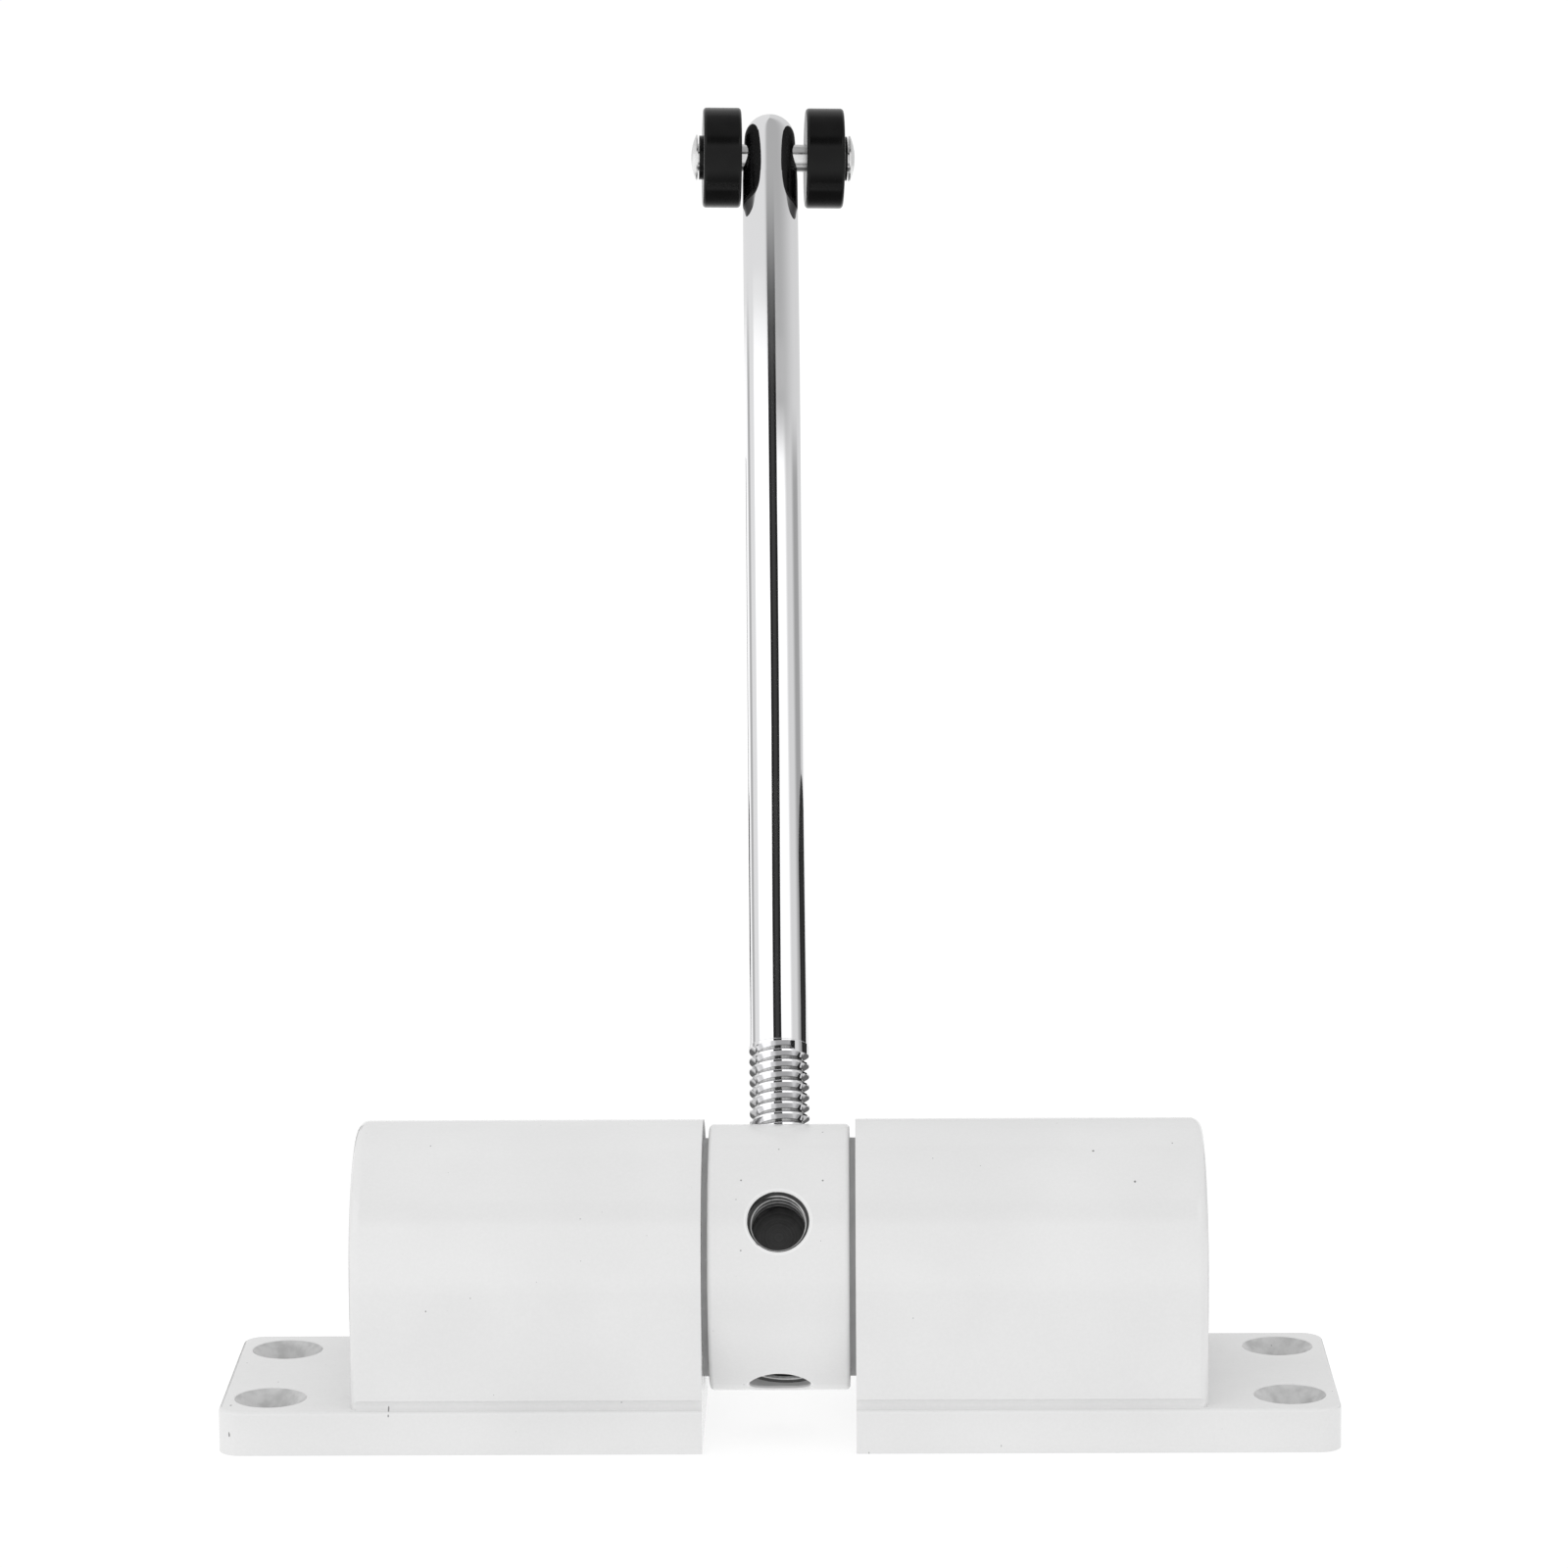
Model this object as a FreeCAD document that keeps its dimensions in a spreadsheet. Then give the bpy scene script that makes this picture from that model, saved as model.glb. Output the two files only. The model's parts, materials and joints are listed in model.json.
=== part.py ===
import FreeCAD, Part
import math
import os
import Sketcher

# Torsion-spring door closer. Two foot housings hold a spindle between them. A hub turns on the
# spindle, each housing holds a torsion spring that drives the hub, and a threaded rod in the hub
# carries two rollers that press on the door.
#
# Millimetres, +Z up. X runs along the hub's axis, the door side is -Y, and the origin is the
# centre of the four fixing holes, in the mounting plane. Every sub-part is drawn in a frame
# whose X axis is the hub's axis, and its Placement lifts it to the axis height.

DIMENSIONS = {
    # housings
    "overall_length": 150.0,
    "barrel_radius": 18.7,
    "barrel_wall": 2.5,
    "floor_under_bore": 5.9,
    "end_wall": 4.5,
    "rim_fillet": 1.5,
    "foot_past_barrel": 17.8,
    "foot_ledge": 0.6,
    "foot_thickness": 6.0,
    "foot_corner_radius": 3.0,
    "foot_edge_fillet": 0.5,
    "cove_radius": 0.7,
    "cove_depth": 0.45,
    "cove_sink": 0.07,
    # fixing holes
    "fixing_spacing_y": 24.3,
    "fixing_end_distance": 6.55,
    "fixing_hole_radius": 2.75,
    "fixing_sink_radius": 4.9,
    "sink_angle": 90.0,
    # hub
    "hub_inset": 0.7,
    "hub_width": 19.0,
    "hub_gap": 0.8,
    "hub_edge_fillet": 0.6,
    "socket_rim_chamfer": 0.25,
    "socket_count": 4.0,
    "socket_depth": 8.0,
    "rod_lean": 30.0,
    # turning parts inside the hub and the barrels
    "bush_wall": 1.44,
    "bush_length": 10.0,
    "disc_thickness": 4.0,
    "running_clearance": 0.06,
    "end_float": 0.6,
    # spindle, its sockets and its screws
    "spindle_radius": 6.0,
    "boss_inset": 1.3,
    "boss_length": 5.0,
    "washer_thickness": 1.0,
    "screw_radius": 2.45,
    "screw_length": 16.0,
    "screw_head_radius": 4.6,
    "screw_key_width": 3.0,
    "screw_key_depth": 1.8,
    "screw_clearance": 0.3,
    "drill_spare_depth": 2.0,
    # springs
    "wire_radius": 1.6,
    "coil_gap": 0.2,
    "coil_outer_clearance": 1.4,
    "coil_inner_clearance": 0.8,
    "tang_clearance": 0.15,
    "tang_in_wall": 3.2,
    "tang_in_hub": 3.6,
    "tang_angle": 45.0,
    # rod
    "rod_tilt": 0.57,
    "rod_turn": 3.0,
    "rod_radius": 4.0,
    "rod_tip_taper": 0.3,
    "rod_past_axle": 6.7,
    "axle_reach": 165.3,
    "thread_rise": 0.1,
    "thread_clearance": 0.05,
    "thread_depth": 0.8,
    "thread_pitch": 1.5,
    "thread_crest_width": 0.18,
    "thread_root_width": 0.24,
    "thread_showing": 11.8,
    "thread_gap": 0.5,
    # axle and rollers
    "axle_radius": 2.0,
    "axle_head_overhang": 1.3,
    "axle_head_thickness": 0.9,
    "axle_head_edge": 0.2,
    "axle_float": 0.9,
    "roller_radius": 7.25,
    "roller_width": 5.5,
    "roller_edge_radius": 0.5,
    "roller_boss_wall": 1.2,
    "roller_boss_height": 0.55,
    "roller_side_gap": 0.25,
}

SHEET = "Sizes"

doc = FreeCAD.newDocument("door_closer")
sheet = doc.addObject("Spreadsheet::Sheet", SHEET)
for row, (alias, number) in enumerate(DIMENSIONS.items(), start=1):
    sheet.set("A%d" % row, alias)
    sheet.set("B%d" % row, str(number))
    sheet.setAlias("B%d" % row, alias)
doc.recompute()


class Size:
    """A number together with the sheet expression that it comes from."""

    def __init__(self, number, text):
        self.number = float(number)
        self.text = text

    def join(self, other, sign, number):
        other = as_size(other)
        return Size(number(self.number, other.number), "(%s %s %s)" % (self.text, sign, other.text))

    def __add__(self, other):
        return self.join(other, "+", lambda a, b: a + b)

    def __sub__(self, other):
        return self.join(other, "-", lambda a, b: a - b)

    def __mul__(self, other):
        return self.join(other, "*", lambda a, b: a * b)

    def __truediv__(self, other):
        return self.join(other, "/", lambda a, b: a / b)

    def __neg__(self):
        return Size(-self.number, "(-1 * %s)" % self.text)


def as_size(value):
    return value if isinstance(value, Size) else Size(value, "%.6g" % value)


def size(alias):
    return Size(sheet.get(alias), "%s.%s" % (SHEET, alias))


def root(value):
    return Size(math.sqrt(value.number), "sqrt(%s)" % value.text)


def cosine(degrees):
    return Size(math.cos(math.radians(degrees.number)), "cos(%s)" % degrees.text)


def sine(degrees):
    return Size(math.sin(math.radians(degrees.number)), "sin(%s)" % degrees.text)


def tangent(degrees):
    return Size(math.tan(math.radians(degrees.number)), "tan(%s)" % degrees.text)


ZERO = as_size(0)


def bind(thing, path, value):
    """Set a property from the sheet."""
    thing.setExpression(path, as_size(value).text)


def lift(thing, lean=ZERO):
    """Place a sub-part on the hub's axis, leaned back about it."""
    thing.Placement = FreeCAD.Placement(
        FreeCAD.Vector(), FreeCAD.Rotation(FreeCAD.Vector(1, 0, 0), -lean.number)
    )
    bind(thing, "Placement.Base.z", axis_height)
    if lean is not ZERO:
        bind(thing, "Placement.Rotation.Angle", -lean)


def lift_with_rod(thing, across=ZERO, reach=ZERO):
    """Place a sub-part that goes with the rod: screwed in by rod_turn, and tilted in its thread."""
    turns = [
        ((1, 0, 0), -rod_lean, (ZERO, ZERO, axis_height)),
        ((0, 1, 0), -size("rod_tilt"), (ZERO, ZERO, grip_middle)),
        ((0, 0, 1), size("rod_turn"), (ZERO, ZERO, -grip_middle)),
        ((0, 0, 1), ZERO, (across, ZERO, reach)),
    ]
    text = " * ".join(
        "placement(vector(%s; %s; %s); rotation(vector(%d; %d; %d); %s))"
        % (*(as_size(value).text for value in base), *axis, angle.text)
        for axis, angle, base in turns
    )
    thing.setExpression("Placement", text)


def new_body(label):
    body = doc.addObject("PartDesign::Body", label)
    body.Label = label
    return body


def new_sketch(body, role, name, offset=ZERO):
    """A sketch on one of the body's own origin planes, moved along the plane's normal."""
    sketch = body.newObject("Sketcher::SketchObject", "%s_%s" % (body.Name, name))
    plane = [item for item in body.Origin.OriginFeatures if item.Role == role][0]
    sketch.AttachmentSupport = [(plane, "")]
    sketch.MapMode = "FlatFace"
    if offset is not ZERO:
        bind(sketch, "AttachmentOffset.Base.z", offset)
    return sketch


def pin(sketch, element, vertex, x, y):
    """Hold a vertex of a sketch at x, y from its origin."""
    for kind, value in (("DistanceX", x), ("DistanceY", y)):
        index = sketch.addConstraint(
            Sketcher.Constraint(kind, -1, 1, element, vertex, value.number)
        )
        bind(sketch, "Constraints[%d]" % index, value)


def circle(sketch, x, y, radius):
    x, y = as_size(x), as_size(y)
    centre = FreeCAD.Vector(x.number, y.number, 0)
    element = sketch.addGeometry(
        Part.Circle(centre, FreeCAD.Vector(0, 0, 1), radius.number), False
    )
    pin(sketch, element, 3, x, y)
    index = sketch.addConstraint(Sketcher.Constraint("Radius", element, radius.number))
    bind(sketch, "Constraints[%d]" % index, radius)


def outline(sketch, corners):
    """A closed outline. A corner is (x, y), and one that starts an arc is (x, y, arc centre)."""
    corners = [tuple(as_size(value) for value in corner) for corner in corners]
    edges = []
    for number, corner in enumerate(corners):
        following = corners[(number + 1) % len(corners)]
        first, last = corner_vector(corner), corner_vector(following)
        if len(corner) == 2:
            element = sketch.addGeometry(Part.LineSegment(first, last), False)
            edges.append((element, 1, 2))
        else:
            edges.append(add_arc(sketch, first, last, corner[2:]))
    for number, (element, start, end) in enumerate(edges):
        pin(sketch, element, start, corners[number][0], corners[number][1])
        next_element, next_start, _ = edges[(number + 1) % len(edges)]
        sketch.addConstraint(
            Sketcher.Constraint("Coincident", element, end, next_element, next_start)
        )
        if len(corners[number]) > 2:
            hold_centre(sketch, element, corners[number])


def corner_vector(corner):
    return FreeCAD.Vector(corner[0].number, corner[1].number, 0)


def add_arc(sketch, first, last, centre):
    """The shorter arc from first to last about a centre. Returns its vertices in travel order."""
    middle = FreeCAD.Vector(centre[0].number, centre[1].number, 0)
    start, end = first - middle, last - middle
    angles = [math.atan2(vector.y, vector.x) for vector in (start, end)]
    turns_left = (angles[1] - angles[0]) % (2 * math.pi) <= math.pi + 1e-9
    if not turns_left:
        angles.reverse()
    ring = Part.Circle(middle, FreeCAD.Vector(0, 0, 1), start.Length)
    element = sketch.addGeometry(Part.ArcOfCircle(ring, angles[0], angles[1]), False)
    return (element, 1, 2) if turns_left else (element, 2, 1)


def hold_centre(sketch, element, corner):
    """Its two ends and one coordinate of its centre settle an arc."""
    chord_is_level = abs(corner[1].number - corner[3].number) < 1e-9
    kind, value = ("DistanceY", corner[3]) if chord_is_level else ("DistanceX", corner[2])
    index = sketch.addConstraint(Sketcher.Constraint(kind, -1, 1, element, 3, value.number))
    bind(sketch, "Constraints[%d]" % index, value)


def pad(body, sketch, length, both_ways=False):
    feature = body.newObject("PartDesign::Pad", "%s_pad" % sketch.Name)
    feature.Profile = sketch
    feature.SideType = "Symmetric" if both_ways else "One side"
    bind(feature, "Length", length)
    sketch.Visibility = False
    return feature


def pocket(body, sketch, length=None, forwards=True):
    """Cut a sketch along its normal, or right through both ways when it has no length."""
    feature = body.newObject("PartDesign::Pocket", "%s_pocket" % sketch.Name)
    feature.Profile = sketch
    if length is None:
        feature.SideType = "Symmetric"
        feature.Type = "ThroughAll"
    else:
        feature.Reversed = forwards
        bind(feature, "Length", length)
    sketch.Visibility = False
    return feature


def turn(body, kind, sketch, axis):
    """Revolution or Groove of a sketch about one of its own axes."""
    feature = body.newObject("PartDesign::%s" % kind, "%s_turned" % sketch.Name)
    feature.Profile = sketch
    feature.ReferenceAxis = (sketch, [axis])
    feature.Angle = 360.0
    sketch.Visibility = False
    return feature


def dress(body, kind, wanted, value, name):
    """Fillet or Chamfer the edges of the body's tip that the test picks."""
    doc.recompute()
    base = body.Tip
    edges = ["Edge%d" % (i + 1) for i, edge in enumerate(base.Shape.Edges) if wanted(edge)]
    feature = body.newObject("PartDesign::%s" % kind, "%s_%s" % (body.Name, name))
    feature.Base = (base, edges)
    bind(feature, "Radius" if kind == "Fillet" else "Size", value)
    return feature


def mirrored(source, label):
    """The same piece on the other side of the middle plane."""
    copy = doc.addObject("Part::Mirroring", label)
    copy.Label = label
    copy.Source = source
    copy.Normal = FreeCAD.Vector(1, 0, 0)
    source.Visibility = True
    return copy


def near(a, b):
    return abs(a - b) < 1e-4


# ---------------------------------------------------------------- derived sizes

# Along the hub's axis, from the middle outwards.
half_hub = size("hub_width") / 2
inner_end = half_hub + size("hub_gap")
disc_face = half_hub + size("disc_thickness")
outer_end = size("overall_length") / 2
barrel_end = outer_end - size("foot_past_barrel")
end_wall_face = barrel_end - size("end_wall")
boss_face = end_wall_face - size("boss_length")
washer_face = boss_face - size("washer_thickness")
half_sleeve = washer_face - size("end_float")

# Across it, from the barrel's wall inwards to the spindle.
hub_radius = size("barrel_radius") - size("hub_inset")
bore_radius = size("barrel_radius") - size("barrel_wall")
coil_radius = bore_radius - size("coil_outer_clearance") - size("wire_radius")
sleeve_radius = coil_radius - size("wire_radius") - size("coil_inner_clearance")
boss_radius = sleeve_radius - size("boss_inset")
sleeve_hole = size("spindle_radius") + size("running_clearance")
sleeve_bore = sleeve_hole + size("bush_wall")

# Height of the axis over the mounting plane, and of the foot measured from the axis.
axis_height = bore_radius + size("floor_under_bore")
foot_top = size("foot_thickness") - axis_height
half_foot = size("barrel_radius") + size("foot_ledge")

# The spring's coil runs between two bends, which turn its ends parallel to the axis.
coil_pitch = size("wire_radius") * 2 + size("coil_gap")
bend_radius = size("wire_radius") * 2
coil_start = disc_face + bend_radius
coil_end = end_wall_face - bend_radius
coil_length = coil_end - coil_start
coil_rise = coil_pitch / (2 * math.pi)
coil_cosine = coil_rise / root(coil_radius * coil_radius + coil_rise * coil_rise)
tang_offset = bend_radius * (as_size(1) - coil_cosine)
tang_hole = size("wire_radius") + size("tang_clearance")
rod_lean = size("rod_lean")
hub_coil_angle = size("tang_angle")
wall_coil_angle = hub_coil_angle - rod_lean - coil_length / coil_pitch * 360

# The rod's thread stands a little proud of its shank and fits the hub's sockets.
thread_radius = size("rod_radius") + size("thread_rise")
socket_radius = thread_radius + size("thread_clearance")
socket_floor = hub_radius - size("socket_rim_chamfer") - size("socket_depth")
thread_start = sleeve_radius + size("thread_gap")
grip_middle = (thread_start + hub_radius) / 2
tip_radius = size("rod_radius") - size("rod_tip_taper")

# The rollers, measured from the middle of the axle, which can slide by axle_float in the rod.
axle_hole = size("axle_radius") + size("running_clearance")
axle_shift = size("axle_float") / 2
roller_inner = size("rod_radius") + size("roller_side_gap") + axle_shift
roller_outer = roller_inner + size("roller_width") + size("roller_boss_height")
head_face = roller_outer + size("roller_side_gap")


def tang_place(angle, offset):
    """Where a tang's centre line crosses the plane across the hub's axis."""
    y = coil_radius * cosine(angle) - offset * sine(angle)
    z = coil_radius * sine(angle) + offset * cosine(angle)
    return y, z


# ---------------------------------------------------------------- housings


def make_right_housing():
    """A barrel with an arched section on a foot, bored from its inner end, with a closed end."""
    body = new_body("right_housing")
    corner = size("foot_corner_radius")
    foot = new_sketch(body, "XY_Plane", "foot", -axis_height)
    outline(foot, [
        (inner_end, -half_foot),
        (outer_end - corner, -half_foot, outer_end - corner, corner - half_foot),
        (outer_end, corner - half_foot),
        (outer_end, half_foot - corner, outer_end - corner, half_foot - corner),
        (outer_end - corner, half_foot),
        (inner_end, half_foot),
    ])
    pad(body, foot, size("foot_thickness"))
    dress(body, "Fillet", is_foot_top_edge, size("foot_edge_fillet"), "foot_edges")

    arch = new_sketch(body, "YZ_Plane", "arch", inner_end)
    arch_radius = size("barrel_radius")
    root_level = foot_top - size("foot_thickness") / 2
    outline(arch, [
        (-arch_radius, root_level),
        (arch_radius, root_level),
        (arch_radius, ZERO, ZERO, ZERO),
        (-arch_radius, ZERO),
    ])
    pad(body, arch, barrel_end - inner_end)
    dress(body, "Fillet", is_barrel_rim, size("rim_fillet"), "barrel_rim")

    cove = new_sketch(body, "YZ_Plane", "cove", inner_end)
    cove_y = arch_radius + size("cove_radius") - size("cove_depth")
    cove_z = foot_top + size("cove_radius") - size("cove_sink")
    for side in (-1, 1):
        circle(cove, cove_y * side, cove_z, size("cove_radius"))
    pocket(body, cove, barrel_end - inner_end)

    inside = new_sketch(body, "XZ_Plane", "inside")
    sink = size("screw_head_radius") + size("screw_clearance")
    shank = size("screw_radius") + size("screw_clearance")
    sink_depth = (sink - shank) / tangent(size("sink_angle") / 2)
    outline(inside, [
        (inner_end, ZERO),
        (inner_end, bore_radius),
        (end_wall_face, bore_radius),
        (end_wall_face, boss_radius),
        (boss_face, boss_radius),
        (boss_face, size("spindle_radius")),
        (end_wall_face, size("spindle_radius")),
        (end_wall_face, shank),
        (barrel_end - sink_depth, shank),
        (barrel_end, sink),
        (barrel_end, ZERO),
    ])
    turn(body, "Groove", inside, "H_Axis")

    tang = new_sketch(body, "YZ_Plane", "tang", end_wall_face)
    tang_y, tang_z = tang_place(wall_coil_angle, -tang_offset)
    circle(tang, tang_y, tang_z, tang_hole)
    pocket(body, tang, size("tang_in_wall") + size("tang_clearance"))

    fixings = new_sketch(body, "XY_Plane", "fixings", foot_top)
    fixing_x = outer_end - size("fixing_end_distance")
    fixing_y = size("fixing_spacing_y") / 2
    for side in (-1, 1):
        circle(fixings, fixing_x, fixing_y * side, size("fixing_hole_radius"))
    doc.recompute()
    hole = body.newObject("PartDesign::Hole", "fixing_holes")
    hole.Profile = fixings
    hole.DepthType = "ThroughAll"
    hole.HoleCutType = "Countersink"
    hole.HoleCutCustomValues = True
    bind(hole, "Diameter", size("fixing_hole_radius") * 2)
    bind(hole, "HoleCutDiameter", size("fixing_sink_radius") * 2)
    bind(hole, "HoleCutCountersinkAngle", size("sink_angle"))
    fixings.Visibility = False
    lift(body)
    return body


def is_foot_top_edge(edge):
    box = edge.BoundBox
    at_inner_end = near(box.XMin, inner_end.number) and near(box.XMax, inner_end.number)
    return near(box.ZMin, foot_top.number) and near(box.ZMax, foot_top.number) and not at_inner_end


def is_barrel_rim(edge):
    box = edge.BoundBox
    on_end_face = near(box.XMin, barrel_end.number) and near(box.XMax, barrel_end.number)
    return on_end_face and box.ZMax > foot_top.number + 1.0


# ---------------------------------------------------------------- hub and what turns with it


def make_hub():
    """A wide ring with tapped sockets around it and a drilled hole for the springs' tangs."""
    body = new_body("hub")
    ring = new_sketch(body, "YZ_Plane", "ring")
    circle(ring, ZERO, ZERO, hub_radius)
    circle(ring, ZERO, ZERO, sleeve_radius)
    pad(body, ring, size("hub_width"), both_ways=True)
    dress(body, "Fillet", is_hub_rim, size("hub_edge_fillet"), "rims")

    socket = new_sketch(body, "XY_Plane", "socket")
    circle(socket, ZERO, ZERO, socket_radius)
    drilled = pocket(body, socket, hub_radius + size("hub_gap"))
    pattern = body.newObject("PartDesign::PolarPattern", "sockets")
    pattern.Originals = [drilled]
    pattern.Axis = (ring, ["N_Axis"])
    pattern.Angle = 360.0
    bind(pattern, "Occurrences", size("socket_count"))
    body.Tip = pattern
    dress(body, "Chamfer", is_socket_mouth, size("socket_rim_chamfer"), "mouths")

    tang = new_sketch(body, "YZ_Plane", "tang")
    tang_y, tang_z = tang_place(hub_coil_angle, tang_offset)
    circle(tang, tang_y, tang_z, tang_hole)
    pocket(body, tang)
    lift(body, rod_lean)
    return body


def is_hub_rim(edge):
    on_a_circle = isinstance(edge.Curve, Part.Circle)
    return on_a_circle and near(edge.Curve.Radius, hub_radius.number)


def is_socket_mouth(edge):
    """The saddle-shaped edge where a socket meets the hub's outer face."""
    if isinstance(edge.Curve, (Part.Circle, Part.Line)):
        return False
    point = edge.valueAt((edge.FirstParameter + edge.LastParameter) / 2)
    return near(math.hypot(point.y, point.z), hub_radius.number)


def make_core_sleeve():
    """The tube that fills the hub, with the flat ends of the tapped sockets drilled into it."""
    body = make_tube(
        "core_sleeve", sleeve_radius, sleeve_bore, -half_sleeve, half_sleeve * 2, rod_lean
    )
    socket = new_sketch(body, "XY_Plane", "socket", socket_floor)
    circle(socket, ZERO, ZERO, socket_radius)
    drilled = pocket(body, socket, sleeve_radius - socket_floor + size("hub_gap"))
    pattern = body.newObject("PartDesign::PolarPattern", "socket_ends")
    pattern.Originals = [drilled]
    pattern.Axis = (body.getObject("core_sleeve_ring"), ["N_Axis"])
    pattern.Angle = 360.0
    bind(pattern, "Occurrences", size("socket_count"))
    body.Tip = pattern
    return body


def make_tube(label, outer, inner, start, length, lean=ZERO, tang=False):
    """A plain ring or tube along the hub's axis, with a tang hole if asked."""
    body = new_body(label)
    ring = new_sketch(body, "YZ_Plane", "ring", start)
    circle(ring, ZERO, ZERO, outer)
    circle(ring, ZERO, ZERO, inner)
    pad(body, ring, length)
    if tang:
        through = new_sketch(body, "YZ_Plane", "tang")
        tang_y, tang_z = tang_place(hub_coil_angle, tang_offset)
        circle(through, tang_y, tang_z, tang_hole)
        pocket(body, through)
    lift(body, lean)
    return body


def make_spindle():
    """A round bar with a tapped hole in each end."""
    body = new_body("spindle")
    drill = size("screw_length") - size("end_wall") + size("drill_spare_depth")
    side = new_sketch(body, "XZ_Plane", "side")
    outline(side, [
        (-end_wall_face, size("screw_radius")),
        (-end_wall_face, size("spindle_radius")),
        (end_wall_face, size("spindle_radius")),
        (end_wall_face, size("screw_radius")),
        (end_wall_face - drill, size("screw_radius")),
        (end_wall_face - drill, ZERO),
        (drill - end_wall_face, ZERO),
        (drill - end_wall_face, size("screw_radius")),
    ])
    turn(body, "Revolution", side, "H_Axis")
    lift(body)
    return body


def make_end_screws():
    """The countersunk screws that hold the spindle, one in each end wall, in one sub-part."""
    body = new_body("right_end_screw")
    head_depth = (size("screw_head_radius") - size("screw_radius")) / tangent(size("sink_angle") / 2)
    head_face = barrel_end - size("screw_clearance")
    tip = barrel_end - size("screw_length")
    side = new_sketch(body, "XZ_Plane", "side")
    outline(side, [
        (tip, ZERO),
        (tip, size("screw_radius")),
        (head_face - head_depth, size("screw_radius")),
        (head_face, size("screw_head_radius")),
        (head_face, ZERO),
    ])
    turn(body, "Revolution", side, "H_Axis")
    key = new_sketch(body, "YZ_Plane", "key", head_face)
    across_corners = size("screw_key_width") / root(as_size(3))
    outline(key, [
        (across_corners * cosine(as_size(angle)), across_corners * sine(as_size(angle)))
        for angle in range(0, 360, 60)
    ])
    pocket(body, key, size("screw_key_depth"), forwards=False)
    lift(body)
    pair = doc.addObject("Part::Compound", "end_screws")
    pair.Label = "end_screws"
    pair.Links = [body, mirrored(body, "left_end_screw")]
    return pair


# ---------------------------------------------------------------- springs


def make_right_spring():
    """Round wire: a straight tang in the hub, a bend, the coil, a bend, a tang in the end wall."""
    slope = math.acos(coil_cosine.number)
    coil = Part.makeLongHelix(coil_pitch.number, coil_length.number, coil_radius.number, 0, True)
    first_angle = (hub_coil_angle - rod_lean).number
    along_x = FreeCAD.Rotation(FreeCAD.Vector(0, 1, 0), FreeCAD.Vector(0, 0, 1), FreeCAD.Vector(1, 0, 0))
    coil.Placement = FreeCAD.Placement(
        FreeCAD.Vector(coil_start.number, 0, 0),
        FreeCAD.Rotation(FreeCAD.Vector(1, 0, 0), first_angle) * along_x,
    )
    ends = sorted(coil.Vertexes, key=lambda vertex: vertex.X)
    edges = list(coil.Edges)
    reach = {
        -1: (half_hub - size("tang_in_hub")).number,
        1: (end_wall_face + size("tang_in_wall")).number,
    }
    for way, corner in ((-1, ends[0].Point), (1, ends[-1].Point)):
        edges += bent_tang(corner, way, slope, reach[way])
    path = Part.Wire(Part.sortEdges(edges)[0])
    start = path.OrderedVertexes[0].Point
    section = Part.Wire(
        Part.makeCircle(size("wire_radius").number, start, FreeCAD.Vector(1, 0, 0))
    )
    spring = doc.addObject("Part::Feature", "right_spring")
    spring.Label = "right_spring"
    spring.Shape = path.makePipeShell([section], True, False)
    lift(spring)
    return spring


def bent_tang(corner, way, slope, reach):
    """The quarter bend and straight tang at one end of the coil, way along X from it."""
    bend = bend_radius.number
    around = FreeCAD.Vector(0, -corner.z, corner.y).normalize() * -way
    along = FreeCAD.Vector(way, 0, 0)

    def bend_point(turned):
        return corner + around * bend * (math.cos(turned) - math.cos(slope)) + along * bend * (
            math.sin(slope) - math.sin(turned)
        )

    straight_start = bend_point(0)
    straight_end = FreeCAD.Vector(reach, straight_start.y, straight_start.z)
    arc = Part.Arc(corner, bend_point(slope / 2), straight_start)
    return [arc.toShape(), Part.LineSegment(straight_start, straight_end).toShape()]


# ---------------------------------------------------------------- rod, axle and rollers


def make_rod():
    """A round rod, threaded where it screws into the hub, with a domed tip and an axle hole."""
    body = new_body("rod")
    thread_end = hub_radius + size("thread_showing")
    tip_end = size("axle_reach") + size("rod_past_axle")
    tip_base = tip_end - tip_radius
    taper_start = size("axle_reach") - tip_radius
    lead_in = thread_radius - size("thread_depth")
    side = new_sketch(body, "XZ_Plane", "side")
    outline(side, [
        (ZERO, thread_start),
        (lead_in, thread_start),
        (thread_radius, thread_start + size("thread_depth")),
        (thread_radius, thread_end),
        (size("rod_radius"), thread_end + thread_radius - size("rod_radius")),
        (size("rod_radius"), taper_start),
        (tip_radius, tip_base, ZERO, tip_base),
        (ZERO, tip_end),
    ])
    turn(body, "Revolution", side, "V_Axis")

    hole = new_sketch(body, "YZ_Plane", "axle_hole")
    circle(hole, ZERO, size("axle_reach"), axle_hole)
    pocket(body, hole)

    groove = new_sketch(body, "XZ_Plane", "thread")
    half_mouth = (size("thread_pitch") - size("thread_crest_width")) / 2
    half_root = size("thread_root_width") / 2
    outside = thread_radius + size("thread_clearance")
    outline(groove, [
        (outside, thread_start - half_mouth),
        (outside, thread_start + half_mouth),
        (lead_in, thread_start + half_root),
        (lead_in, thread_start - half_root),
    ])
    doc.recompute()
    helix = body.newObject("PartDesign::SubtractiveHelix", "rod_thread")
    helix.Profile = groove
    helix.ReferenceAxis = (groove, ["V_Axis"])
    helix.Mode = "pitch-height-angle"
    bind(helix, "Pitch", size("thread_pitch"))
    bind(helix, "Height", thread_end - thread_start - size("thread_pitch") / 2)
    groove.Visibility = False
    lift_with_rod(body)
    return body


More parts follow.
